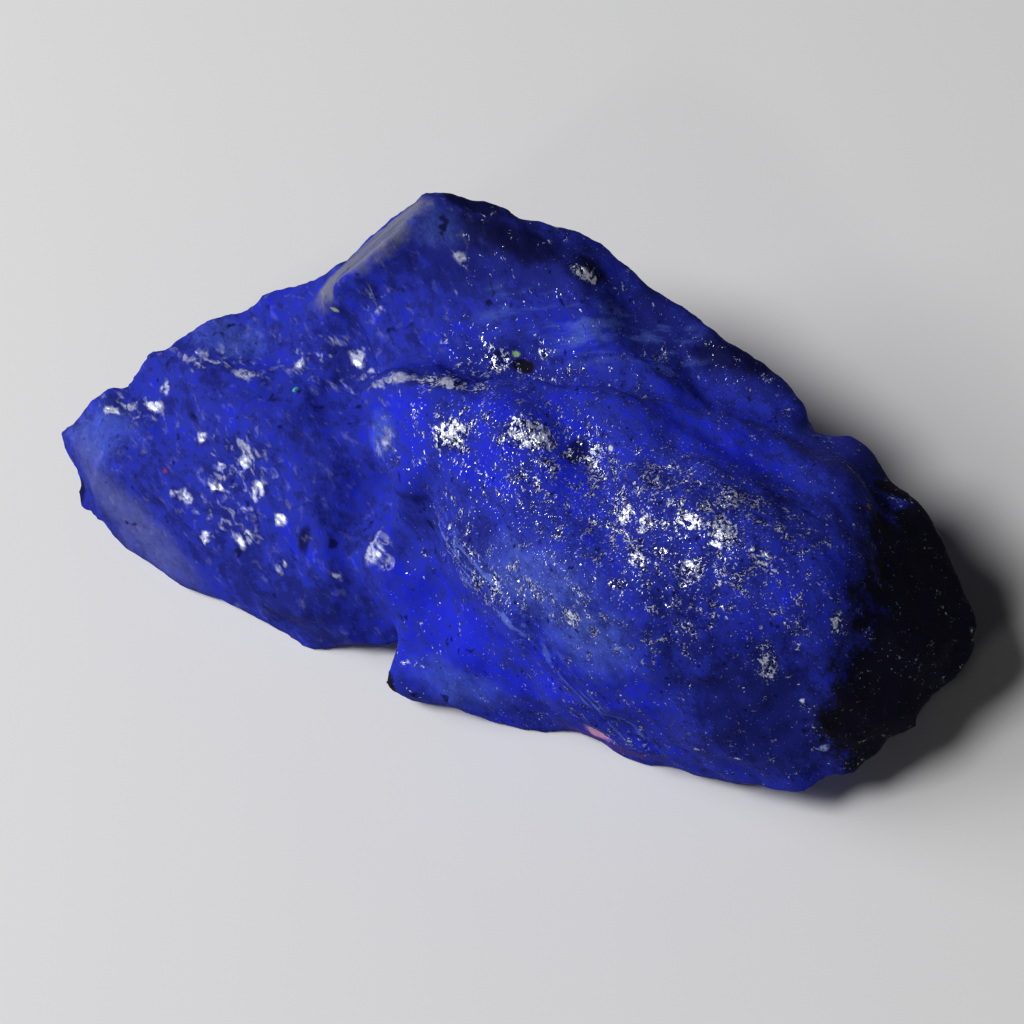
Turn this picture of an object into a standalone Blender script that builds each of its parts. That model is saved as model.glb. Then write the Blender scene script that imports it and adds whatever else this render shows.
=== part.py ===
"""A rough sapphire: one broken, lumpy crystal mass that lies on its flattest side.

Units are metres, +Z is up and +X runs along the stone to its thick, dark end. The stone is put
together from angular blocks, as a crystal breaks: the blocks are fused, their edges are worn, and
gullies, pits, knobs and a grained lumpiness are worked into the skin. Last, its underside is
ground by the flat facet that it lies on, and the origin is set below the middle of the stone.
"""

import bmesh
import bpy
import numpy as np
from mathutils import Vector, noise

MM = 0.001

# Corners of each angular block, in millimetres.
BLOCKS = {
    # The thick main mass: crest, front face and dark end.
    "main_mass": [
        (-5.0, 2.5, 15.0), (3.5, 4.0, 16.0), (-2.5, -1.5, 15.0), (3.0, 0.5, 16.6), (8.5, -0.5, 17.2),
        (13.0, -2.5, 17.4), (16.5, -3.0, 16.4), (11.5, -6.5, 15.5), (6.0, -6.0, 15.0), (1.0, -5.2, 14.0),
        (9.7, -8.8, 13.0), (13.7, -9.4, 10.5), (18.3, -7.6, 9.5), (20.4, -4.6, 12.5), (20.0, -0.8, 14.2),
        (17.8, 4.6, 12.5), (12.8, 5.5, 13.7), (4.0, -8.4, 11.0), (7.9, -10.0, 7.0), (8.9, -9.2, -0.8),
        (13.6, -9.5, -0.8), (18.5, -9.6, 2.8), (22.2, -6.6, 3.4), (23.8, -2.9, 4.6), (25.8, 0.0, 5.0),
        (25.8, 1.6, 7.2), (23.2, 4.1, 9.0), (19.5, 5.9, 10.3), (16.4, 7.8, 10.3),
        (-6.0, -8.0, 1.0), (15.5, -8.0, 1.0), (19.5, -3.0, 1.4), (14.0, 8.5, 2.0), (-6.0, 8.0, 2.0),
        (-2.0, -6.0, -1.0), (13.0, -6.0, -1.0), (16.0, -1.0, -1.0), (12.0, 5.0, -1.0), (-3.0, 4.0, -1.0),
    ],
    # The blunt nose of the main mass, above the saddle.
    "nose": [
        (-9.6, 1.3, 13.0), (-8.3, -1.2, 12.5), (-5.8, -3.5, 12.0), (-7.6, 2.4, 14.3), (-10.0, -1.4, 8.0),
        (-8.3, -4.0, 6.0), (-5.0, 2.5, 15.0), (-2.5, -1.5, 15.0), (0.0, 4.0, 15.0), (-9.0, 3.5, 12.0),
        (-8.0, -4.0, 1.0), (-9.0, 4.0, 1.0), (0.0, -6.0, 1.0), (1.0, 4.0, 1.0),
    ],
    # The high ridge along the far side, with the peak at its thin end.
    "ridge": [
        (-18.1, 9.1, 9.7), (-15.9, 10.2, 11.7), (-13.2, 10.9, 14.1), (-10.9, 11.5, 16.3), (-9.4, 10.9, 16.8),
        (-6.8, 12.6, 17.0), (-5.0, 13.2, 15.9), (-1.8, 13.9, 14.4), (0.5, 13.8, 13.5), (4.0, 12.4, 12.0),
        (6.0, 11.8, 11.0), (8.8, 11.0, 10.5), (13.5, 8.6, 10.5), (-16.4, 6.2, 12.2), (-10.6, 9.0, 16.0),
        (-9.5, 3.0, 12.5), (-6.0, 5.3, 13.5), (0.0, 7.3, 13.7), (6.0, 6.9, 13.5), (12.0, 5.5, 12.0),
        (-17.0, 9.0, 2.0), (-4.0, 14.0, 3.0), (11.0, 9.4, 2.0), (-6.0, 4.0, 1.0), (10.0, 4.0, 1.0),
        (-8.0, 8.6, -0.8), (1.0, 9.6, -0.8), (9.0, 7.4, -0.8),
    ],
    # The lower, tapering lobe at the thin end.
    "thin_lobe": [
        (-34.0, -2.9, 5.0), (-32.2, -6.0, 2.0), (-29.0, -1.2, 6.5), (-27.9, 1.6, 7.7), (-26.5, 4.5, 8.9),
        (-23.3, 6.9, 9.3), (-20.8, 8.1, 9.8), (-17.0, 8.9, 10.7), (-28.2, -3.6, 6.4), (-19.5, -8.0, 5.0),
        (-12.1, -9.3, 4.0), (-27.7, -7.9, 1.1), (-24.9, -6.9, -0.8), (-18.4, -6.9, -0.8),
        (-13.1, -9.3, -0.8), (-7.5, -8.8, 2.0),
        (-15.7, -1.3, 9.7), (-15.0, 6.0, 11.0), (-10.4, -6.4, 7.2), (-27.0, 1.0, 0.6), (-14.0, 8.0, 1.0),
        (-23.0, -4.0, -0.5), (-13.0, -5.5, -0.7), (-14.0, 3.0, -0.7),
    ],
    # The saddle that joins the lobe to the main mass.
    "saddle": [
        (-14.0, -1.0, 9.3), (-14.5, 6.0, 11.0), (-8.0, 4.5, 12.0), (-6.0, -1.5, 10.0), (-7.8, -6.6, 6.0),
        (-7.0, -8.6, 3.0), (-13.0, -8.0, 4.0), (-4.0, -6.0, 8.0), (-7.0, -8.6, 1.0), (-13.0, -8.0, 1.0),
        (-14.0, 6.0, 1.0), (-2.0, 4.0, 1.0), (-2.0, 4.0, 10.0),
    ],
    # The low ledge that steps out under the front edge.
    "ledge": [
        (-6.7, -11.1, 2.1), (-6.5, -9.5, 3.4), (-4.6, -9.7, -0.8), (-0.4, -8.3, -0.8), (2.2, -8.7, -0.8),
        (5.8, -9.3, -0.6), (8.6, -8.6, -0.8), (-5.3, -8.9, 5.0), (-0.1, -8.2, 6.3), (3.5, -9.0, 4.2),
        (-4.0, -4.0, 8.5), (6.0, -5.0, 6.0), (-4.0, -6.0, 0.0), (8.0, -6.0, 0.0),
    ],
}
SKIN_VOXEL = 0.6 * MM
EDGE_WEAR = 4

# Worked into the skin, in millimetres: where each starts and ends, its radius and its depth.
GULLIES = {
    "behind_terrace": [(2.6, 4.0, 16.0), (5.6, -0.3, 16.7), 1.8, 0.9],
    "below_terrace": [(5.6, -0.3, 16.7), (8.0, -3.8, 16.0), 1.6, 0.6],
    "trough": [(-8.5, 6.5, 14.2), (8.0, 7.6, 13.2), 2.6, 0.8],
    "far_shelf": [(3.5, 9.8, 13.6), (15.0, 6.6, 11.5), 1.7, 0.9],
    "saddle_line": [(-13.8, 4.5, 11.2), (-9.4, -2.4, 9.0), 2.4, 1.2],
    "saddle_foot": [(-9.4, -2.4, 9.0), (-7.3, -8.6, 2.5), 1.6, 0.9],
    "under_front_ridge": [(-5.6, -5.0, 8.4), (3.4, -9.0, 6.6), 1.6, 0.8],
    "cluster_hollow": [(9.0, -1.6, 16.9), (14.5, -4.4, 16.0), 2.6, 0.6],
    "end_groove": [(18.8, 5.6, 11.0), (21.6, 1.4, 11.2), 1.1, 0.6],
    "lobe_furrow": [(-28.0, 0.0, 7.6), (-19.0, -3.6, 8.4), 1.5, 0.5],
    "tip_notch": [(-29.4, 0.2, 7.0), (-29.6, 0.4, 6.6), 0.9, 0.5],
    "lobe_hollow": [(-21.0, 4.2, 9.9), (-15.2, 1.6, 10.4), 2.0, 0.6],
    "ledge_foot": [(-3.5, -10.8, 0.3), (1.6, -10.3, 0.1), 1.5, 0.35],
    "dark_pit": [(-1.6, 5.0, 13.8), (-1.2, 4.8, 13.8), 1.1, 0.8],
    "underside_cleft": [(-10.0, -3.0, 0.0), (-7.0, 7.0, 1.0), 2.2, 1.0],
    "end_notch": [(23.6, -2.4, 4.2), (22.8, -1.6, 2.4), 1.2, 1.0],
    "foot_notch": [(20.0, -8.0, 3.6), (19.2, -7.2, 2.0), 0.9, 0.4],
    "back_cleft": [(-3.0, 13.5, 8.0), (3.0, 12.6, 4.5), 2.2, 0.9],
}
KNOBS = {
    "terrace": [(-3.4, 0.4, 15.0), (1.8, 1.4, 16.2), 2.2, 0.7],
    "front_ridge": [(-4.4, -3.7, 12.4), (4.4, -8.0, 11.9), 1.2, 0.5],
    "front_ridge_foot": [(4.4, -8.0, 11.9), (9.4, -9.8, 7.4), 1.1, 0.5],
    "nose_bulge": [(-8.8, 0.2, 12.6), (-7.6, 1.4, 13.6), 2.4, 0.6],
    "saddle_knob": [(-7.9, -5.2, 7.6), (-7.5, -5.0, 7.6), 1.3, 0.7],
    "lobe_back": [(-23.4, 1.0, 9.0), (-17.0, -1.0, 9.6), 2.0, 0.5],
    "lobe_rim": [(-27.5, -4.0, 6.2), (-20.0, -7.4, 5.4), 1.2, 0.4],
    "cluster_rim": [(8.2, -5.2, 15.6), (14.4, -7.4, 13.6), 1.6, 0.5],
    "end_brow": [(18.0, 3.4, 12.8), (19.6, -2.4, 13.8), 1.6, 0.5],
    "foot_lump": [(-1.0, -9.4, 4.6), (1.6, -9.4, 4.0), 1.4, 0.3],
    "tip_spur": [(-32.0, -6.1, 1.9), (-32.4, -6.3, 1.7), 0.7, 1.0],
    "back_lump": [(10.0, 10.0, 6.0), (13.0, 8.8, 5.0), 2.6, 0.7],
}

# Flat facets where the crystal has cleaved, in millimetres: middle, the way it faces, and radius.
FACETS = {
    "peak_facet": [(-12.4, 9.6, 15.45), (-0.66, 0.13, 0.74), 4.4],
    "lobe_tip": [(-27.4, -5.9, 4.3), (-0.09, -0.86, 0.5), 2.2],
    "lobe_side": [(-24.4, -6.5, 3.7), (-0.09, -0.86, 0.5), 2.3],
    "lobe_edge": [(-21.4, -7.2, 3.1), (-0.09, -0.86, 0.5), 2.3],
    "lobe_foot": [(-18.4, -7.8, 2.5), (-0.09, -0.86, 0.5), 2.2],
    "end_facet": [(22.6, 1.2, 9.2), (0.75, 0.3, 0.59), 3.2],
    "back_facet": [(-9.0, 13.4, 9.0), (-0.2, 0.95, 0.2), 4.5],
}
# How far off its plane the skin is still brought in, how much wider than its radius the facet
# starts, how sharply it takes hold, and how squarely the skin has to face its way.
FACET_REACH = 2.0
FACET_RIM = 1.3
FACET_GRIP = 2.5
FACET_FACING = 0.2

# The grain of the crystal, which the lumps are drawn out along.
GRAIN = Vector((0.87, -0.48, -0.1)).normalized()
GRAIN_STRETCH = 2.2
# Size of the lumps across the grain, and how far they stand out and in.
LUMPS = [(4.2 * MM, 0.6 * MM), (2.0 * MM, 0.42 * MM), (1.1 * MM, 0.22 * MM)]
SEED = Vector((3.1, 7.7, 1.9))

SKIN_TRIANGLES = 8600
BASE_CUTTER = 0.12

BLUE = (0.012, 0.015, 0.33, 1)
POLISH = 0.3


def clear_scene():
    for old in list(bpy.data.objects):
        bpy.data.objects.remove(old)


def collection(name, hidden):
    made = bpy.data.collections.new(name)
    made.hide_render = hidden
    bpy.context.scene.collection.children.link(made)
    return made


def block(name, corners, into):
    """One angular block, the hull of its corners."""
    shape = bmesh.new()
    for corner in corners:
        shape.verts.new(Vector(corner) * MM)
    hull = bmesh.ops.convex_hull(shape, input=shape.verts)
    inside = [v for v in hull["geom_interior"] if isinstance(v, bmesh.types.BMVert)]
    bmesh.ops.delete(shape, geom=inside, context="VERTS")
    bmesh.ops.recalc_face_normals(shape, faces=shape.faces)
    mesh = bpy.data.meshes.new(name)
    shape.to_mesh(mesh)
    shape.free()
    made = bpy.data.objects.new(name, mesh)
    into.objects.link(made)
    return made


def applied(stone):
    """Gives the stone the mesh that its modifiers make, and takes the modifiers off."""
    graph = bpy.context.evaluated_depsgraph_get()
    mesh = bpy.data.meshes.new_from_object(stone.evaluated_get(graph))
    stone.modifiers.clear()
    stone.data = mesh


def fuse(stone, blocks):
    """Joins the blocks into the stone, evens its skin and wears its edges."""
    for other in blocks:
        join = stone.modifiers.new("fuse_" + other.name, "BOOLEAN")
        join.operation = "UNION"
        join.object = other
    skin = stone.modifiers.new("even_skin", "REMESH")
    skin.mode = "VOXEL"
    skin.voxel_size = SKIN_VOXEL
    wear = stone.modifiers.new("wear", "SMOOTH")
    wear.factor = 0.5
    wear.iterations = EDGE_WEAR
    applied(stone)


def near(points, start, end, radius):
    """1 on the line from start to end, falling smoothly to 0 at two radii from it."""
    start, end = np.array(start) * MM, np.array(end) * MM
    along = end - start
    part = np.clip((points - start) @ along / (along @ along), 0, 1)
    away = np.linalg.norm(points - start - part[:, None] * along, axis=1) / (radius * MM)
    return np.clip(1 - (away / 2) ** 2, 0, 1) ** 3


def lumpiness(point):
    """How far the skin stands out here: noise drawn out along the grain."""
    across = point - GRAIN * point.dot(GRAIN) * (1 - 1 / GRAIN_STRETCH)
    return sum(height * noise.noise(across / size + SEED) for size, height in LUMPS)


def flatten(points, normals, middle, facing, radius):
    """Brings the skin that faces this way onto one plane, out to the facet's radius."""
    facing = facing / np.linalg.norm(facing)
    above = (points - middle) @ facing
    away = np.linalg.norm(points - middle - above[:, None] * facing, axis=1) / radius
    share = np.clip(FACET_GRIP * (FACET_RIM - away), 0, 1)
    share[(normals @ facing < FACET_FACING) | (abs(above) > FACET_REACH * MM)] = 0
    points -= facing * (above * share)[:, None]


def work_skin(mesh):
    """Moves the skin along its normals: gullies in, knobs out, and the grained lumps."""
    points = np.array([v.co for v in mesh.vertices])
    normals = np.array([v.normal for v in mesh.vertices])
    out = np.array([lumpiness(v.co) for v in mesh.vertices])
    for start, end, radius, depth in GULLIES.values():
        out -= depth * MM * near(points, start, end, radius)
    for start, end, radius, height in KNOBS.values():
        out += height * MM * near(points, start, end, radius)
    points += normals * out[:, None]
    for middle, facing, radius in FACETS.values():
        flatten(points, normals, np.array(middle) * MM, np.array(facing), radius * MM)
    mesh.vertices.foreach_set("co", points.ravel())


def cut_away(stone, name, shape, cutters):
    """Takes a cutter's shape out of the stone."""
    mesh = bpy.data.meshes.new(name)
    shape.to_mesh(mesh)
    shape.free()
    cutter = bpy.data.objects.new(name, mesh)
    cutters.objects.link(cutter)
    cut = stone.modifiers.new(name, "BOOLEAN")
    cut.operation = "DIFFERENCE"
    cut.solver = "EXACT"
    cut.object = cutter
    applied(stone)
    bpy.data.objects.remove(cutter)


def thin_out(stone):
    """Drops the triangles that the form doesn't need."""
    stone.data.calc_loop_triangles()
    fewer = stone.modifiers.new("thin_out", "DECIMATE")
    fewer.ratio = SKIN_TRIANGLES / len(stone.data.loop_triangles)
    applied(stone)


def grind_base(stone, cutters):
    """Cuts the flat facet that the stone lies on, at height zero."""
    shape = bmesh.new()
    bmesh.ops.create_cube(shape, size=BASE_CUTTER)
    bmesh.ops.translate(shape, verts=shape.verts, vec=(0, 0, -BASE_CUTTER / 2))
    cut_away(stone, "base_cutter", shape, cutters)


def centre(mesh):
    """Moves the stone so that the origin is below the middle of its box, on the base."""
    points = np.array([v.co for v in mesh.vertices])
    middle = (points.min(axis=0) + points.max(axis=0)) / 2
    middle[2] = points[:, 2].min()
    mesh.vertices.foreach_set("co", (points - middle).ravel())


def crystal_material():
    """Deep blue crystal with a glassy break."""
    made = bpy.data.materials.new("blue_crystal")
    made.use_nodes = True
    skin = made.node_tree.nodes["Principled BSDF"]
    skin.inputs["Base Color"].default_value = BLUE
    skin.inputs["Roughness"].default_value = POLISH
    skin.inputs["Metallic"].default_value = 0
    return made


clear_scene()
crystal = collection("rough_sapphire", False)
helpers = collection("blocks_and_cutters", True)
parts = [block(name, corners, helpers) for name, corners in BLOCKS.items()]
stone = bpy.data.objects.new("sapphire", parts[0].data)
crystal.objects.link(stone)
fuse(stone, parts[1:])
for used in parts:
    bpy.data.objects.remove(used)
work_skin(stone.data)
thin_out(stone)
grind_base(stone, helpers)
centre(stone.data)
stone.data.materials.append(crystal_material())
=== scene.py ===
import math

import bmesh
import bpy
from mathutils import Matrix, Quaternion, Vector


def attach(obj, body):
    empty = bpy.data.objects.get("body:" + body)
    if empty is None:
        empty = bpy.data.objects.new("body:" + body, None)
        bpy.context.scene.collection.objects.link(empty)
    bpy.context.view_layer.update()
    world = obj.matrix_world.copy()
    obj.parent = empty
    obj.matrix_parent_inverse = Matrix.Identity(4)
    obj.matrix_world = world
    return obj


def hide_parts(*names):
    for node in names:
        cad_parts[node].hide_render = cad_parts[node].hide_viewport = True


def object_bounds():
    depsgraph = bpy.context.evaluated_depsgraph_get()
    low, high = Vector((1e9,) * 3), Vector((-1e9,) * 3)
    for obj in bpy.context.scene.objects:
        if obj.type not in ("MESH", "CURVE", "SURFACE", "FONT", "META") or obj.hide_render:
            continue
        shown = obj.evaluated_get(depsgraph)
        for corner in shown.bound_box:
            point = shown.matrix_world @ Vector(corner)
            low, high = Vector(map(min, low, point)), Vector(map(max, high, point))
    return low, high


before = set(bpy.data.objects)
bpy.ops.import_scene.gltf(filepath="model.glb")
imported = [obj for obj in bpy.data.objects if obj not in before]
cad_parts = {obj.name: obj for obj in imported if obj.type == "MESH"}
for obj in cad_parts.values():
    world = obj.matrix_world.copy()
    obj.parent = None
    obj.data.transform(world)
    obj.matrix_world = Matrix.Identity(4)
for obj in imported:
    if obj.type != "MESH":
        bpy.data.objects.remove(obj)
cad_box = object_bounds()
MM = 0.001

# ---- Camera ------------------------------------------------------------------------------------
# It looks down on the front of the stone from beyond the thick end, and is turned about its own
# axis, so that the stone runs across the frame from the upper left to the lower right.
AIM = Vector((2.2, -1.74, 6.0)) * MM
CAMERA_DISTANCE = 129 * MM
CAMERA_NEAREST = 10 * MM
CAMERA_AZIMUTH = math.radians(52.2)
CAMERA_ELEVATION = math.radians(55)
CAMERA_ROLL = math.radians(-30)
FIELD_OF_VIEW = math.radians(25)
SENSOR_WIDTH = 36

towards_camera = Vector((
    math.sin(CAMERA_AZIMUTH) * math.cos(CAMERA_ELEVATION),
    -math.cos(CAMERA_AZIMUTH) * math.cos(CAMERA_ELEVATION),
    math.sin(CAMERA_ELEVATION),
))
lens = bpy.data.cameras.new("camera")
lens.sensor_width = SENSOR_WIDTH
lens.lens = SENSOR_WIDTH / 2 / math.tan(FIELD_OF_VIEW / 2)
lens.clip_start = CAMERA_NEAREST
camera = bpy.data.objects.new("camera", lens)
camera.rotation_mode = "QUATERNION"
camera.location = AIM + towards_camera * CAMERA_DISTANCE
level_view = (-towards_camera).to_track_quat("-Z", "Y")
camera.rotation_quaternion = level_view @ Quaternion((0, 0, 1), CAMERA_ROLL)
bpy.context.scene.collection.objects.link(camera)
bpy.context.scene.camera = camera


# ---- Stone -------------------------------------------------------------------------------------
# One broken mass of deep blue corundum, glassy and nearly opaque. It starts from the solid's own
# form: the skin is made fine and even, and its hackly, grained break is worked in as relief. The
# places named below, in millimetres, are where the crystal is rough, hazy or dark, and where
# glints, light and shade are painted into its colour.
class Flow:
    """One output in a node tree. Arithmetic on it adds Math nodes."""

    def __init__(self, tree, socket=None):
        self.tree = tree
        self.socket = socket

    def node(self, kind, settings, inputs, output=0):
        """A new node: its settings first, then its sockets' values or links."""
        made = self.tree.nodes.new(kind)
        for name, value in settings.items():
            setattr(made, name, value)
        for name, value in inputs.items():
            if isinstance(value, Flow):
                self.tree.links.new(value.socket, made.inputs[name])
            else:
                made.inputs[name].default_value = value
        return Flow(self.tree, made.outputs[output])

    def maths(self, operation, *values):
        return self.node("ShaderNodeMath", {"operation": operation}, dict(enumerate(values)))

    def vector(self, operation, *values, output=0):
        inputs = dict(enumerate(values))
        return self.node("ShaderNodeVectorMath", {"operation": operation}, inputs, output)

    def __add__(self, other):
        return self.maths("ADD", self, other)

    def __radd__(self, other):
        return self.maths("ADD", other, self)

    def __sub__(self, other):
        return self.maths("SUBTRACT", self, other)

    def __rsub__(self, other):
        return self.maths("SUBTRACT", other, self)

    def __mul__(self, other):
        return self.maths("MULTIPLY", self, other)

    def __rmul__(self, other):
        return self.maths("MULTIPLY", other, self)

    def either(self, other):
        """The larger of the two."""
        return self.maths("MAXIMUM", self, other)

    def scaled(self, vector, factor):
        inputs = {0: vector, "Scale": factor}
        return self.node("ShaderNodeVectorMath", {"operation": "SCALE"}, inputs)

    def ramp(self, low, high, to_low=0.0, to_high=1.0):
        """A smooth step from to_low at low to to_high at high."""
        inputs = {
            "Value": self, "From Min": low, "From Max": high, "To Min": to_low, "To Max": to_high,
        }
        return self.node("ShaderNodeMapRange", {"interpolation_type": "SMOOTHSTEP"}, inputs)

    def noise(self, place, size, detail=2.0, roughness=0.5, distortion=0.0):
        """Smooth noise from 0 to 1, with features of this size, in millimetres if place is."""
        inputs = {
            "Vector": place, "Scale": 1 / size, "Detail": detail, "Roughness": roughness,
            "Distortion": distortion,
        }
        return self.node("ShaderNodeTexNoise", {}, inputs)

    def colours(self, share, first, second):
        """The first colour, going to the second as share goes to 1."""
        inputs = {0: share, 6: first, 7: second}
        return self.node("ShaderNodeMix", {"data_type": "RGBA"}, inputs, 2)


# The crystal parts along upright planes that face this way, so patterns are squeezed across them:
# its break, the pale blobs on the thin lobe, and the furrows most of all.
PARTING = Vector((0.48, 0.88, 0.0)).normalized()
BREAK_SQUEEZE = 1.7
BLOB_SQUEEZE = 2.0
FURROW_SQUEEZE = 5.0

# Middle and half-width of each place where the break is hackly: rougher relief, painted glints,
# and painted shade between them.
ROUGH = {
    "great_cluster": ((16.8, -4.3, 16.0), (4.4, 2.7, 2.4)),
    "cluster_left": ((13.4, -3.6, 15.8), (1.6, 2.0, 1.6)),
    "terrace_left": ((2.1, -2.5, 15.6), (1.3, 1.1, 1.4)),
    "terrace_right": ((6.8, -1.8, 16.4), (1.7, 0.9, 1.2)),
    "below_terrace": ((8.0, -3.6, 15.8), (1.1, 1.5, 1.4)),
    "gully_side": ((10.6, -1.5, 15.4), (1.3, 1.4, 1.8)),
    "scarp": ((-0.7, 0.5, 15.1), (3.4, 0.8, 0.9)),
    "scarp_foot": ((2.6, 3.9, 12.7), (2.8, 0.8, 0.9)),
    "saddle_head": ((-10.8, 2.6, 9.6), (3.4, 1.2, 2.0)),
    "lobe_middle": ((-14.4, -4.8, 8.0), (2.2, 1.8, 1.6)),
    "lobe_back": ((-19.0, 0.8, 9.0), (3.2, 0.8, 1.0)),
    "lobe_tip": ((-23.8, -2.6, 6.8), (2.4, 0.8, 1.0)),
    "lobe_front": ((-14.0, -7.6, 6.6), (2.2, 1.0, 1.2)),
    "dome_front": ((15.0, -9.0, 12.8), (3.4, 1.2, 1.8)),
    "nose_back": ((-3.9, -0.3, 14.6), (1.2, 1.0, 1.2)),
    "nose_side": ((-2.2, -3.4, 13.5), (1.0, 1.3, 1.5)),
    "ridge_arc": ((3.8, -7.2, 13.4), (2.2, 0.9, 1.1)),
    "ridge_arc_foot": ((7.8, -8.9, 13.2), (2.6, 0.8, 1.1)),
    "ridge_tuft": ((12.2, -9.3, 13.5), (1.2, 0.8, 1.0)),
    "dome_foot": ((18.0, -7.6, 14.4), (2.2, 1.2, 1.2)),
    "end_drip": ((21.9, -8.0, 11.2), (0.6, 0.8, 1.8)),
    "end_edge": ((23.3, -6.4, 12.8), (0.7, 1.2, 1.6)),
    "end_chain": ((25.0, -4.9, 12.6), (0.5, 1.0, 1.8)),
    "end_low": ((24.2, -8.7, 7.4), (0.7, 0.6, 1.6)),
    "far_edge": ((4.6, 9.0, 15.1), (1.0, 0.6, 0.9)),
    "far_shelf": ((9.4, 4.1, 12.6), (1.0, 0.6, 0.7)),
    "peak_face": ((-2.6, 7.7, 15.9), (0.5, 0.4, 0.5)),
    "peak_foot": ((-7.4, 4.9, 14.0), (0.9, 0.6, 0.8)),
    "front_foot": ((12.6, -11.4, 4.4), (2.6, 0.6, 2.0)),
    "low_front": ((20.4, -10.9, 6.8), (0.5, 0.5, 0.8)),
}
# Small knots there of nearly white painted glints.
GLINT_KNOTS = {
    "cluster_1": ((14.6, -4.5, 15.8), (0.45, 0.45, 0.8)),
    "cluster_2": ((13.3, -4.2, 15.5), (0.4, 0.5, 0.8)),
    "cluster_3": ((18.9, -4.1, 16.5), (0.6, 0.7, 0.8)),
    "cluster_4": ((18.6, -2.1, 16.2), (0.35, 0.4, 0.7)),
    "cluster_5": ((17.8, -6.1, 15.4), (0.65, 0.5, 0.8)),
    "cluster_6": ((15.1, -6.4, 15.8), (0.6, 0.35, 0.7)),
    "cluster_7": ((21.1, -4.6, 16.0), (0.5, 0.4, 0.7)),
    "cluster_8": ((17.1, -4.0, 16.5), (0.6, 0.4, 0.7)),
    "terrace_left": ((2.1, -2.6, 15.6), (0.9, 0.7, 1.0)),
    "terrace_right": ((6.9, -1.7, 16.5), (1.5, 0.6, 1.0)),
    "gully_side": ((10.1, -1.6, 15.1), (0.4, 0.7, 1.0)),
    "scarp": ((0.2, 0.4, 15.2), (2.4, 0.6, 0.7)),
    "nose_back": ((-2.7, 0.1, 15.0), (0.9, 0.5, 0.6)),
    "knob": ((-3.4, -7.0, 8.0), (0.9, 0.9, 1.2)),
    "knob_side": ((-2.4, -7.5, 7.7), (0.4, 0.4, 0.7)),
    "lobe_tip": ((-25.3, -3.2, 6.8), (0.7, 0.3, 0.6)),
    "lobe_back": ((-22.4, -2.2, 7.1), (0.8, 0.3, 0.6)),
    "lobe_top": ((-21.7, -1.3, 7.9), (0.5, 0.4, 0.6)),
    "lobe_corner": ((-16.1, 0.5, 9.2), (1.0, 0.4, 0.7)),
    "lobe_middle": ((-17.5, -3.6, 7.8), (0.5, 0.3, 0.6)),
    "lobe_crest": ((-12.3, -5.9, 7.8), (0.6, 0.6, 0.8)),
    "lobe_crest_back": ((-13.8, -4.0, 8.5), (0.6, 0.6, 0.8)),
    "lobe_shoulder": ((-15.3, -6.1, 7.3), (0.6, 0.3, 0.6)),
    "lobe_front": ((-12.5, -8.2, 6.2), (0.5, 0.5, 0.8)),
    "lobe_rim": ((-17.8, -6.9, 6.3), (0.9, 0.4, 0.7)),
    "lobe_low": ((-15.1, -8.8, 5.9), (0.5, 0.4, 0.6)),
    "saddle_side": ((-10.2, -6.9, 7.2), (0.4, 0.4, 0.6)),
    "saddle_low": ((-9.8, -8.9, 5.6), (0.4, 0.4, 0.6)),
    "saddle_head": ((-9.6, 3.3, 9.4), (0.6, 0.5, 0.7)),
    "saddle_back": ((-13.1, 2.1, 9.2), (0.4, 0.4, 0.6)),
    "saddle_foot": ((-5.9, -8.6, 6.0), (0.4, 0.3, 0.5)),
    "ridge_tuft": ((12.2, -9.5, 13.3), (0.6, 0.4, 0.6)),
    "far_edge": ((4.5, 8.9, 15.2), (0.7, 0.4, 0.6)),
    "peak_face": ((-2.6, 7.7, 15.9), (0.4, 0.3, 0.4)),
    "end_drip": ((21.9, -8.0, 11.0), (0.4, 0.6, 1.0)),
    "end_chain": ((24.8, -5.4, 12.6), (0.25, 0.5, 1.2)),
    "end_low": ((23.5, -8.5, 8.6), (0.3, 0.4, 0.5)),
}
# Where finer painted glints are strewn between those.
STREWN = {
    "dome": ((15.2, -4.4, 15.0), (8.4, 4.6, 4.4)),
    "terrace": ((5.2, -2.2, 15.6), (6.0, 3.2, 3.0)),
    "lobe": ((-17.0, -4.8, 7.0), (8.0, 3.4, 3.0)),
    "middle": ((-2.0, 3.4, 12.6), (9.0, 2.0, 3.4)),
    "ridge": ((8.0, -8.6, 12.8), (6.0, 1.6, 2.0)),
}
# Where the blue goes towards a pale, hazy blue.
CLOUDY = {
    "ridge_haze": ((10.0, -8.3, 14.0), (4.2, 1.9, 2.2)),
    "ridge_haze_foot": ((13.4, -9.6, 12.4), (3.0, 2.0, 2.4)),
    "nose_haze": ((-2.9, -2.8, 13.2), (1.2, 1.1, 1.8)),
    "ledge_haze": ((2.6, -11.2, 3.2), (3.0, 1.4, 1.6)),
    "lobe_tip": ((-25.4, -4.6, 6.2), (3.0, 2.0, 2.0)),
    "peak_lip": ((-4.2, 8.6, 17.0), (1.8, 1.0, 1.2)),
    "far_lobe": ((-18.8, 2.6, 8.8), (2.4, 1.2, 1.4)),
}
# Painted light: where the blue is painted brighter, as light shining through the crystal and on
# faces turned to the lamps.
PAINTED_LIGHT = {
    "nose": ((-1.8, -2.6, 14.2), (2.8, 2.4, 3.2)),
    "terrace": ((6.5, -2.4, 16.4), (5.6, 3.0, 3.0)),
    "flank": ((1.6, -9.8, 6.4), (6.0, 3.4, 4.6)),
    "ridge_foot": ((10.6, -11.0, 6.8), (6.5, 2.6, 5.0)),
    "dome_back": ((17.0, 1.4, 14.4), (3.4, 2.4, 2.4)),
}
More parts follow.
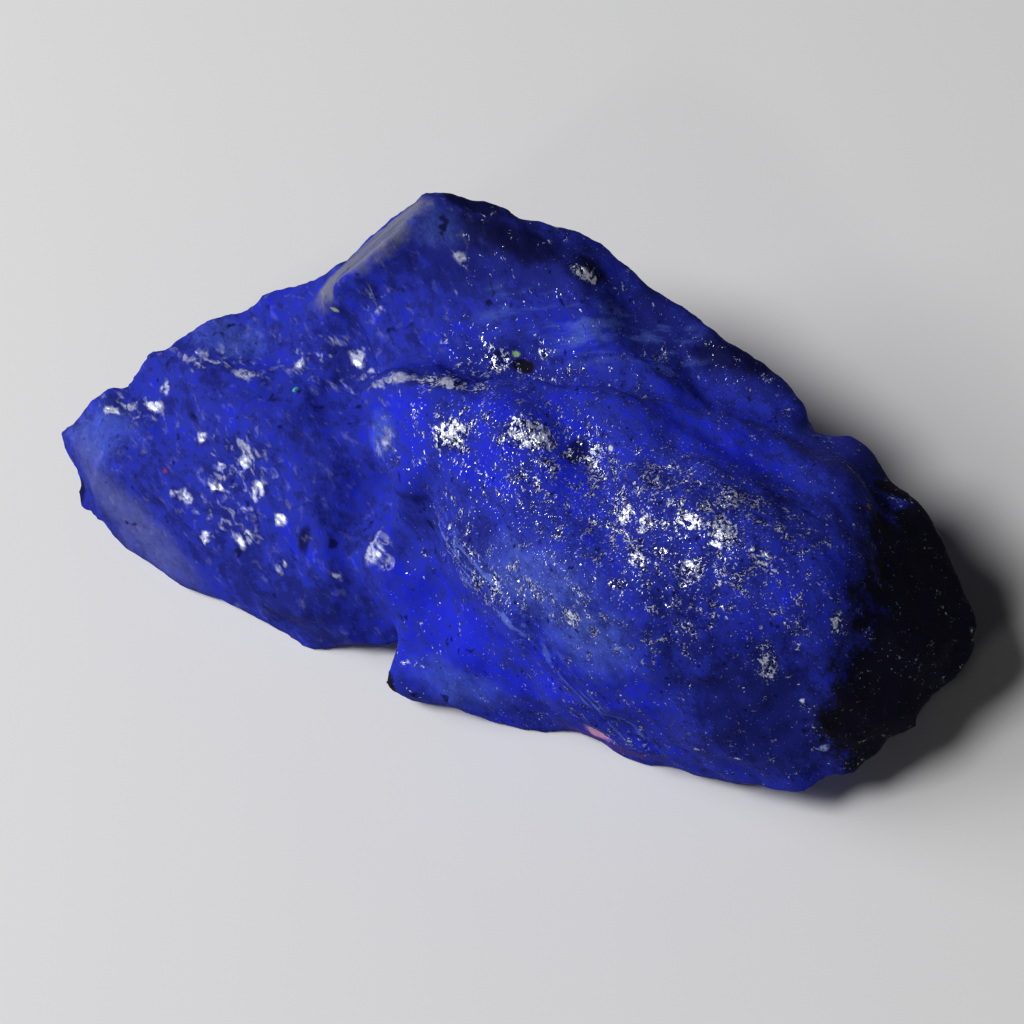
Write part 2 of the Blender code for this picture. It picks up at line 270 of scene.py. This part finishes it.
# Where it is deeper in colour: partly its own tone, partly painted shade on faces turned from the
# lamps.
DEEP_AND_SHADED = {
    "peak_slope": ((-0.6, 9.0, 15.8), (7.4, 2.6, 2.8)),
    "far_shelf": ((11.4, 8.6, 12.0), (6.2, 2.4, 2.4)),
    "far_end": ((20.4, 3.6, 11.6), (4.4, 3.6, 3.4)),
    "lower_front": ((21.4, -9.2, 8.4), (3.8, 2.6, 3.6)),
    "lobe_foot": ((-11.0, -9.8, 3.6), (4.2, 2.0, 2.4)),
}
# Where it is dark: softly so in a few places, with painted shade along the peak's rim, on the far
# shelf and in the gully; and black at the thick end, partly its black matrix and partly painted
# shade on the end turned from the lamps, and in a pit and a notch at the foot.
DARK_AND_SHADED = {
    "peak_patch": ((-0.1, 9.3, 16.4), (3.6, 1.1, 1.4)),
    "peak_side": ((4.2, 9.3, 14.8), (1.2, 0.8, 1.4)),
    "peak_rim": ((-2.6, 10.4, 17.0), (2.6, 0.6, 0.9)),
    "shelf_patch": ((13.0, 8.3, 11.2), (3.0, 0.9, 1.4)),
    "gully": ((9.1, -1.4, 15.2), (0.5, 0.8, 0.9)),
    "lobe_spur": ((-27.5, -7.2, 2.6), (0.6, 0.7, 0.9)),
    "lobe_pit": ((-8.3, -7.4, 7.0), (0.5, 0.8, 0.9)),
}
BLACK_AND_SHADED = {
    "end": ((29.0, 0.2, 6.2), (6.2, 7.4, 8.4)),
    "end_brow": ((24.8, 4.6, 8.6), (2.6, 2.3, 2.6)),
    "end_foot": ((27.2, -6.4, 5.6), (3.6, 3.4, 5.4)),
    "pit": ((2.2, 4.0, 12.4), (0.6, 0.35, 0.6)),
    "foot_notch": ((-1.8, -12.6, 2.4), (0.6, 0.7, 1.3)),
}
# Each band runs between two ends and has a half-width: a grey face on the peak and a smooth pale
# one along the thin lobe, both painted with a reflection of the bright surroundings, and the two
# reaches of the front ridge, where pale lines run along it.
PEAK_BAND = (Vector((-4.8, 9.6, 18.0)), Vector((-13.2, 5.0, 10.9)), 1.7)
LOBE_BAND = (Vector((-28.6, -4.9, 6.2)), Vector((-16.2, -10.9, 0.5)), 2.1)
RIDGE_BANDS = {
    "top": (Vector((1.0, -5.8, 12.9)), Vector((11.2, -11.4, 12.0)), 1.3),
    "fall": (Vector((9.8, -10.6, 12.6)), Vector((15.4, -12.2, 2.4)), 1.4),
}
# Where paler streaks run along the shelf behind the nose.
STREAKED = {
    "shelf": ((4.0, 6.4, 13.6), (5.4, 1.8, 2.0)),
    "shelf_end": ((9.0, 7.4, 12.4), (4.0, 1.8, 1.6)),
}
PLACES = {
    "rough": ROUGH, "white": GLINT_KNOTS, "strewn": STREWN, "cloudy": CLOUDY, "bright": PAINTED_LIGHT,
    "deep": DEEP_AND_SHADED, "dark": DARK_AND_SHADED, "black": BLACK_AND_SHADED, "streaked": STREAKED,
}


def off_spot(place, middle, half):
    """0 in the middle of a spot, 1 at its edge, and more outside."""
    off = place.vector("SUBTRACT", place, Vector(middle))
    off = off.vector("DIVIDE", off, Vector(half))
    return off.vector("LENGTH", off, output="Value")


def off_nearest(place, spots):
    """How far off the nearest of the spots the place is, on the same scale."""
    nearest = None
    for middle, half in spots.values():
        distance = off_spot(place, middle, half)
        nearest = distance if nearest is None else distance.maths("MINIMUM", distance, nearest)
    return nearest


def drawn(place, direction, factor):
    """The place with its distance along this direction multiplied.

    A pattern read there is squeezed along the direction, or drawn out where the factor is under 1.
    """
    along = place.vector("DOT_PRODUCT", place, direction, output="Value")
    return place.vector("ADD", place, place.scaled(direction, along * (factor - 1)))


def off_band(place, band):
    """0 on the middle line of a band, 1 at its edge, and more outside."""
    first, last, half_width = band
    way = (last - first) / 2
    off = place.vector("SUBTRACT", place, first + way)
    off = drawn(off, way.normalized(), half_width / way.length)
    return off.vector("LENGTH", off, output="Value") * (1 / half_width)


# The skin is re-made at this mesh size, and its corners worn round in this many passes.
SKIN_MESH = 0.22 * MM
WEAR_PASSES = 5
WEAR_A_PASS = 0.5
# Points of the solid nearer than this are one.
SAME_POINT = 0.001 * MM

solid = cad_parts["sapphire"]
shape = bmesh.new()
shape.from_mesh(solid.data)
bmesh.ops.remove_doubles(shape, verts=shape.verts, dist=SAME_POINT)
mesh = bpy.data.meshes.new("stone")
shape.to_mesh(mesh)
shape.free()
stone = bpy.data.objects.new("stone", mesh)
bpy.context.scene.collection.objects.link(stone)
even = stone.modifiers.new("even", "REMESH")
even.mode = "VOXEL"
even.voxel_size = SKIN_MESH
wear = stone.modifiers.new("wear", "SMOOTH")
wear.factor = WEAR_A_PASS
wear.iterations = WEAR_PASSES


# Sizes and heights of the broken relief, in millimetres, and how far the chips lean. It fades out
# in the margin above the face that the stone lies on.
RELIEF = {
    "Chip size": 0.9,
    "Chip tilt": 0.3,
    "Lump size": 1.6,
    "Lump height": 0.32,
    "Hackle": 0.28,
    "Furrow depth": 0.12,
    "Base margin": 0.8,
}
HACKLE_SIZE = 0.8
FURROW_SIZE = 3.0
# The smooth places' share of the rough ones' relief, and the share of it all left on the bare bands.
SMOOTH_SHARE = 0.2
BARE_SHARE = 0.25


def relief_tree():
    """Moves the skin along its normals, and keeps how near each point is to each kind of place."""
    tree = bpy.data.node_groups.new("broken_skin", "GeometryNodeTree")
    face = tree.interface
    face.new_socket("Geometry", in_out="INPUT", socket_type="NodeSocketGeometry")
    for name in RELIEF:
        face.new_socket(name, in_out="INPUT", socket_type="NodeSocketFloat")
    face.new_socket("Material", in_out="INPUT", socket_type="NodeSocketMaterial")
    face.new_socket("Geometry", in_out="OUTPUT", socket_type="NodeSocketGeometry")
    start = tree.nodes.new("NodeGroupInput")
    given = {socket.name: Flow(tree, socket) for socket in start.outputs if socket.name}
    flow = Flow(tree)

    def keep(skin, name, value):
        """Keeps a value at each point of the skin, for the material to read."""
        per_point = {"data_type": "FLOAT", "domain": "POINT"}
        values = {"Geometry": skin, "Name": name, "Value": value}
        return flow.node("GeometryNodeStoreNamedAttribute", per_point, values)

    metres = flow.node("GeometryNodeInputPosition", {}, {})
    place = flow.scaled(metres, 1 / MM)
    skin = given["Geometry"]
    near = {}
    for name, spots in PLACES.items():
        near[name] = off_nearest(place, spots)
        skin = keep(skin, name, near[name])
    ragged = (flow.noise(place, 1.6, detail=3.0, roughness=0.6) - 0.5) * 1.6
    rough = (near["rough"] + ragged).ramp(1.3, 0.7)
    grained = drawn(place, PARTING, BREAK_SQUEEZE)

    # Flat chips, each leaning its own way, over round lumps, a fine hackle and long furrows.
    scale = flow.maths("DIVIDE", 1, given["Chip size"])
    cell = {"Vector": grained, "Scale": scale, "Randomness": 1.0}
    chips = flow.node("ShaderNodeTexVoronoi", {}, cell)
    middle = Flow(tree, chips.socket.node.outputs["Position"])
    tint = Flow(tree, chips.socket.node.outputs["Color"])
    lean = flow.vector("SUBTRACT", tint, (0.5, 0.5, 0.5))
    off = flow.vector("SUBTRACT", grained, middle)
    tilted = flow.vector("DOT_PRODUCT", off, lean, output="Value") * given["Chip tilt"]
    lumps = (flow.node("ShaderNodeTexNoise", {}, {
        "Vector": grained, "Scale": flow.maths("DIVIDE", 1, given["Lump size"]), "Detail": 3.0,
        "Roughness": 0.5,
    }) - 0.5) * given["Lump height"]
    hackle = (flow.noise(place, HACKLE_SIZE, roughness=0.6) - 0.5) * given["Hackle"]
    furrows = flow.noise(drawn(place, PARTING, FURROW_SQUEEZE), FURROW_SIZE) - 0.5
    furrows = furrows * given["Furrow depth"]
    broken = lumps + furrows + (tilted + hackle) * (SMOOTH_SHARE + (1 - SMOOTH_SHARE) * rough)
    off_bare = flow.maths("MINIMUM", off_band(place, PEAK_BAND), off_band(place, LOBE_BAND))
    out = broken * off_bare.ramp(0.6, 1.5, BARE_SHARE, 1.0)
    skin = keep(skin, "stands_out", out)

    height = flow.node("ShaderNodeSeparateXYZ", {}, {0: place}, 2)
    free = height.ramp(0.02, given["Base margin"])
    normal = flow.node("GeometryNodeInputNormal", {}, {})
    moved = flow.scaled(normal, out * free * MM)
    set_place = flow.node("GeometryNodeSetPosition", {}, {"Geometry": skin, "Offset": moved})
    joined = flow.node("GeometryNodeRealizeInstances", {}, {"Geometry": set_place})
    dressed = {"Geometry": joined, "Material": given["Material"]}
    finished = flow.node("GeometryNodeSetMaterial", {}, dressed)
    end = tree.nodes.new("NodeGroupOutput")
    tree.links.new(finished.socket, end.inputs["Geometry"])
    return tree


# The shelf behind the nose is streaked along this direction.
SHELF_STREAK = Vector((0.93, 0.36, 0.1)).normalized()
# The fine relief of curls, grain and ridge lines, too small for the skin's mesh, is this deep.
FINE_RELIEF = 0.08 * MM
CRYSTAL_IOR = 1.2
# The bare crystal's roughness, and how much less of it and how much more metallic its glints are.
SATIN = 0.8
GLINT_POLISH = 0.55
GLINT_METAL = 0.6

DEEP_BLUE = (0.020, 0.027, 0.22, 1)
BODY_BLUE = (0.028, 0.041, 0.36, 1)
BRIGHT_BLUE = (0.020, 0.032, 0.56, 1)
CLOUD_BLUE = (0.11, 0.17, 0.56, 1)
# Navy of the dark places and of the painted shade in the hollows.
NAVY = (0.005, 0.006, 0.045, 1)
# White of the painted glints, which stand in for highlights of the lamps.
PAINTED_GLINT_WHITE = (0.82, 0.86, 1.0, 1)
# Colours of the painted reflections on the peak's face and on the lobe's smooth face.
PEAK_REFLECTION_GREY = (0.175, 0.178, 0.235, 1)
LOBE_REFLECTION_LAVENDER = (0.13, 0.145, 0.34, 1)
# Black of the thick end, partly painted shade.
BLACK_BLUE = (0.009, 0.0078, 0.0115, 1)
# Middle, half-width and colour of its small stains, and of three painted glints tinted green or
# cream: green, green_foot and cream.
STAINS_AND_GLINTS = {
    "pink": ((11.1, -11.1, 2.3), (0.9, 0.9, 0.8), (0.60, 0.33, 0.50, 1)),
    "pink_edge": ((11.2, -11.1, 1.1), (3.4, 0.9, 0.5), (0.08, 0.05, 0.28, 1)),
    "bead": ((24.3, -9.1, 5.7), (0.25, 0.25, 0.25), (0.40, 0.50, 0.95, 1)),
    "orange": ((23.7, 1.4, 12.4), (0.2, 0.2, 0.2), (0.60, 0.22, 0.05, 1)),
    "cyan": ((-12.3, 0.3, 9.5), (0.2, 0.2, 0.2), (0.12, 0.60, 0.70, 1)),
    "red": ((-19.4, -5.9, 6.8), (0.18, 0.18, 0.18), (0.45, 0.03, 0.05, 1)),
    "green": ((1.6, 4.4, 12.8), (0.3, 0.2, 0.25), (0.35, 0.55, 0.25, 1)),
    "green_foot": ((-11.0, 4.8, 11.8), (0.35, 0.2, 0.25), (0.45, 0.55, 0.30, 1)),
    "cream": ((11.0, -1.0, 15.8), (0.2, 0.2, 0.2), (0.55, 0.58, 0.40, 1)),
}


def sapphire_material():
    """Deep blue crystal, satin where smooth, with painted glints, light and shade and a black end.
    """
    made = bpy.data.materials.new("blue_crystal")
    made.use_nodes = True
    tree = made.node_tree
    shader = tree.nodes["Principled BSDF"]
    flow = Flow(tree)
    metres = flow.node("ShaderNodeTexCoord", {}, {}, "Object")
    place = flow.scaled(metres, 1 / MM)
    grained = drawn(place, PARTING, BREAK_SQUEEZE)
    along = flow.node("ShaderNodeSeparateXYZ", {}, {0: place}, 0)

    def kept(name):
        """What the relief kept at each point under this name."""
        return flow.node("ShaderNodeAttribute", {"attribute_name": name}, {}, "Fac")

    # The break is finest on the dome and coarsest on the thin lobe, where soft pale blobs of painted
    # glint take over.
    fineness = along.ramp(-4.0, 15.0, 0.5, 1.0)
    coarse = along.ramp(-0.5, -4.0)
    chipped = flow.scaled(place, fineness)

    # Patterns, from the broadest to the finest: worms make the curls, nubs the white lumps in the
    # knots, and crumbs the specks, all of them painted glints. Those read from chipped are larger
    # where the break is coarser.
    broad = flow.noise(grained, 4.2, detail=4.0, roughness=0.6) - 0.5
    ragged = flow.noise(place, 1.3, detail=4.0, roughness=0.62) - 0.5
    clusters = flow.noise(grained, 1.2, detail=3.0, roughness=0.6) - 0.5
    mottle = flow.noise(grained, 0.9, detail=4.0, roughness=0.7) - 0.5
    blobs = flow.noise(drawn(place, PARTING, BLOB_SQUEEZE), 0.8, roughness=0.55, distortion=0.4)
    tufts = flow.noise(chipped, 0.55, roughness=0.6) - 0.5
    nubs = flow.noise(drawn(chipped, PARTING, BREAK_SQUEEZE), 0.42, detail=1.0, distortion=0.8)
    grain = flow.noise(grained, 0.22, detail=3.0, roughness=0.7) - 0.5
    worms = flow.noise(chipped, 0.19, detail=1.0, distortion=0.8) - 0.5
    bits = flow.noise(chipped, 0.17, detail=1.0)
    crumbs = flow.noise(chipped, 0.12, detail=1.0, distortion=1.0)
    # Streaks along the peak's face, over its painted reflection, and along the shelf.
    peak_way = (PEAK_BAND[1] - PEAK_BAND[0]).normalized()
    streaks = flow.noise(drawn(place, peak_way, 0.08), 0.6)
    sweeps = flow.noise(drawn(place, SHELF_STREAK, 0.16), 0.9, detail=3.0, roughness=0.6)

    # How far each point is in each kind of place, from 0 to 1, with ragged edges.
    rough = (kept("rough") + ragged * 1.2).ramp(1.9, 0.3)
    knots = (kept("white") + ragged * 0.8 + tufts * 1.4).ramp(1.5, 0.5)
    among = (kept("strewn") + ragged * 1.2).ramp(1.4, 0.6)
    cloudy = (kept("cloudy") + ragged * 1.4).ramp(1.4, 0.4)
    bright = (kept("bright") + ragged * 1.2).ramp(1.5, 0.5)
    deep = (kept("deep") + ragged * 1.2).ramp(1.4, 0.6)
    dark = (kept("dark") + ragged * 1.4 + clusters * 0.8).ramp(1.4, 0.6)
    black = kept("black") + ragged * 0.9 + clusters * 0.6 + (bits - 0.5) * 0.35
    black = black.ramp(1.3, 0.88)
    peak_reflection = (off_band(place, PEAK_BAND) + ragged * 0.4).ramp(1.1, 0.8)
    lobe_reflection = (off_band(place, LOBE_BAND) + ragged * 0.6).ramp(1.2, 0.3)
    streaked = (kept("streaked") + ragged * 0.8).ramp(1.3, 0.5)

    # The hackly break gathers painted glints: tufts of short pale curls, some of them white, with
    # specks and painted shade in the hollows between, and solid white in the knots. On the thin lobe
    # they are soft pale blobs.
    density = rough * 0.11 + knots * 0.24 + among * 0.08 + clusters * 0.8 + tufts * 0.9 - 0.075
    hackly = density.ramp(0.06, 0.26)
    packed = density.ramp(0.30, 0.60)
    thin = (worms * worms - packed * 0.005).ramp(0.011 - 0.0065 * fineness, 0.0003)
    curls = thin * (bits + packed * 0.2).ramp(0.46, 0.54)
    nuggets = (nubs + knots * 0.06).ramp(0.55, 0.64) * knots.ramp(0.2, 0.6)
    nuggets = nuggets * bits.ramp(0.3, 0.6, 0.4, 1.0)
    white = (tufts + bits * 0.5 + density * 0.3).ramp(0.26, 0.5)
    specks = (crumbs + among * 0.04 + density * 0.2).ramp(0.72, 0.75)
    specks = specks * bits.ramp(0.35, 0.6, 0.4, 1.0)
    fine = (curls * hackly * (0.3 + 0.7 * white)).either(specks).either(nuggets * 0.9)
    fine = fine * (1 - coarse)
    soft = blobs + tufts * 0.3 + clusters * 0.25 + knots * 0.22 + rough * 0.06 + among * 0.02
    soft = soft.ramp(0.56, 0.94) * (0.14 + 0.76 * knots.either(rough * 0.8))
    soft = soft * (0.7 + bits * 0.6) * coarse
    painted_glints = fine.either(soft)
    shaded_hollows = hackly * worms.ramp(0.03, -0.08) * (1 - coarse)

    # The blue is mottled. It is painted lighter where the relief stands out and in the places of
    # painted light, and darker in the deep places; painted shade darkens its recesses and the hackly
    # break between the glints. Haze, streaks, ridge lines and the painted reflections on the two
    # bands lie over it, then the dark places, the stains and tinted glints, the black end, painted
    # shade in the hollows, and last the painted glints.
    shade = broad * 0.9 + mottle * 1.35 + grain * fineness + kept("stands_out") * 0.4
    shade = shade - hackly * 0.22 - rough * 0.14 + clusters * coarse * 0.7
    body = (shade + bright * 0.16 - deep * 0.28).ramp(-0.24, 0.02)
    colour = flow.colours(body, DEEP_BLUE, BODY_BLUE)
    lit = (shade + bright * 0.26 - deep * 0.34).ramp(0.04, 0.34)
    colour = flow.colours(lit, colour, BRIGHT_BLUE)
    colour = flow.colours(cloudy * (0.38 + mottle + grain * 0.5), colour, CLOUD_BLUE)
    colour = flow.colours(streaked * sweeps.ramp(0.46, 0.66) * 0.6, colour, CLOUD_BLUE)
    height = worms * (0.1 + 0.9 * hackly) + grain * 0.5
    for band in RIDGE_BANDS.values():
        ridge_way = (band[1] - band[0]).normalized()
        lines = flow.noise(drawn(place, ridge_way, 0.06), 0.34, detail=3.0, roughness=0.6)
        on_band = (off_band(place, band) + ragged * 0.6).ramp(1.2, 0.5)
        colour = flow.colours(on_band * lines.ramp(0.52, 0.62) * 0.8, colour, CLOUD_BLUE)
        colour = flow.colours(on_band * lines.ramp(0.47, 0.38) * 0.8, colour, DEEP_BLUE)
        height = height + on_band * lines
    # Painted reflections of the bright surroundings: lavender on the lobe's face, grey on the
    # peak's.
    colour = flow.colours(lobe_reflection * (0.62 + mottle), colour, LOBE_REFLECTION_LAVENDER)
    colour = flow.colours(peak_reflection * streaks.ramp(0.36, 0.62, 0.6, 1.0), colour, PEAK_REFLECTION_GREY)
    # The dark places, partly painted shade along the peak's rim, on the far shelf and in the gully.
    colour = flow.colours(dark * 0.85, colour, NAVY)
    for middle, half, tint in STAINS_AND_GLINTS.values():
        tinted_spot = off_spot(place, middle, half) + ragged * 0.8 + (bits - 0.5) * 0.8
        colour = flow.colours(tinted_spot.ramp(1.2, 0.6), colour, tint)
    # The black end, partly its black matrix and partly painted shade.
    colour = flow.colours(black * 0.96, colour, BLACK_BLUE)
    # Painted shade in the hollows between the glints; the gaps between the tufts are darkened too.
    colour = flow.colours(shaded_hollows.either(tufts.ramp(-0.14, -0.24)) * 0.8, colour, NAVY)
    # Painted glints: near-white flecks in the base colour, standing in for highlights of the lamps.
    colour = flow.colours(painted_glints * (1 - 0.4 * black), colour, PAINTED_GLINT_WHITE)

    bump = {"Strength": 1.0, "Distance": FINE_RELIEF, "Height": height}
    bumped = flow.node("ShaderNodeBump", {}, bump)

    tree.links.new(colour.socket, shader.inputs["Base Color"])
    tree.links.new(bumped.socket, shader.inputs["Normal"])
    tree.links.new((SATIN - GLINT_POLISH * painted_glints).socket, shader.inputs["Roughness"])
    tree.links.new((painted_glints * GLINT_METAL).socket, shader.inputs["Metallic"])
    shader.inputs["IOR"].default_value = CRYSTAL_IOR
    return made


relief = stone.modifiers.new("relief", "NODES")
relief.node_group = relief_tree()
for item in relief.node_group.interface.items_tree:
    if item.name in RELIEF:
        relief[item.identifier] = RELIEF[item.name]
    if item.name == "Material":
        relief[item.identifier] = sapphire_material()

graph = bpy.context.evaluated_depsgraph_get()
finished_mesh = bpy.data.meshes.new_from_object(stone.evaluated_get(graph))
stone.modifiers.clear()
stone.data = finished_mesh
# Nothing of it reaches past the solid's box.
for vertex in finished_mesh.vertices:
    vertex.co = [min(max(c, low), high) for c, low, high in zip(vertex.co, *cad_box)]
finished_mesh.polygons.foreach_set("use_smooth", [True] * len(finished_mesh.polygons))

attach(stone, "root")
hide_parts("sapphire")


# ---- Floor, lamps and room ---------------------------------------------------------------------
# A plain pale sheet under two broad lamps on the thin end's side, one high and one low, with a
# small faint lamp in front. Directions, sizes in metres and powers in watts.
FLOOR_HALF = 0.6
FLOOR_PALE = (0.66, 0.66, 0.665, 1)
FLOOR_ROUGHNESS = 0.9
LAMPS = {
    "high": (Vector((-0.29, -0.26, 0.92)), 0.20, 1.4),
    "low": (Vector((-0.78, -0.21, 0.59)), 0.30, 1.15),
    "front": (Vector((0.02, -0.77, 0.59)), 0.06, 0.12),
}
LAMP_DISTANCE = 0.5
ROOM_WHITE = (1, 1, 1, 1)
ROOM_GLOW = 0.04

sheet = bmesh.new()
bmesh.ops.create_grid(sheet, size=FLOOR_HALF)
floor_mesh = bpy.data.meshes.new("floor")
sheet.to_mesh(floor_mesh)
sheet.free()
floor = bpy.data.objects.new("floor", floor_mesh)
floor_material = bpy.data.materials.new("pale_floor")
floor_material.use_nodes = True
floor_skin = floor_material.node_tree.nodes["Principled BSDF"]
floor_skin.inputs["Base Color"].default_value = FLOOR_PALE
floor_skin.inputs["Roughness"].default_value = FLOOR_ROUGHNESS
floor_mesh.materials.append(floor_material)
bpy.context.scene.collection.objects.link(floor)

for name, (direction, size, power) in LAMPS.items():
    lamp = bpy.data.lights.new(name, "AREA")
    lamp.shape = "DISK"
    lamp.size = size
    lamp.energy = power
    holder = bpy.data.objects.new(name, lamp)
    holder.rotation_mode = "QUATERNION"
    holder.location = AIM + direction.normalized() * LAMP_DISTANCE
    holder.rotation_quaternion = direction.to_track_quat("Z", "Y")
    bpy.context.scene.collection.objects.link(holder)

room = bpy.data.worlds.new("room")
room.use_nodes = True
glow = room.node_tree.nodes["Background"]
glow.inputs["Color"].default_value = ROOM_WHITE
glow.inputs["Strength"].default_value = ROOM_GLOW
bpy.context.scene.world = room
bpy.context.scene.view_settings.view_transform = "Standard"
bpy.context.scene.view_settings.look = "Medium High Contrast"
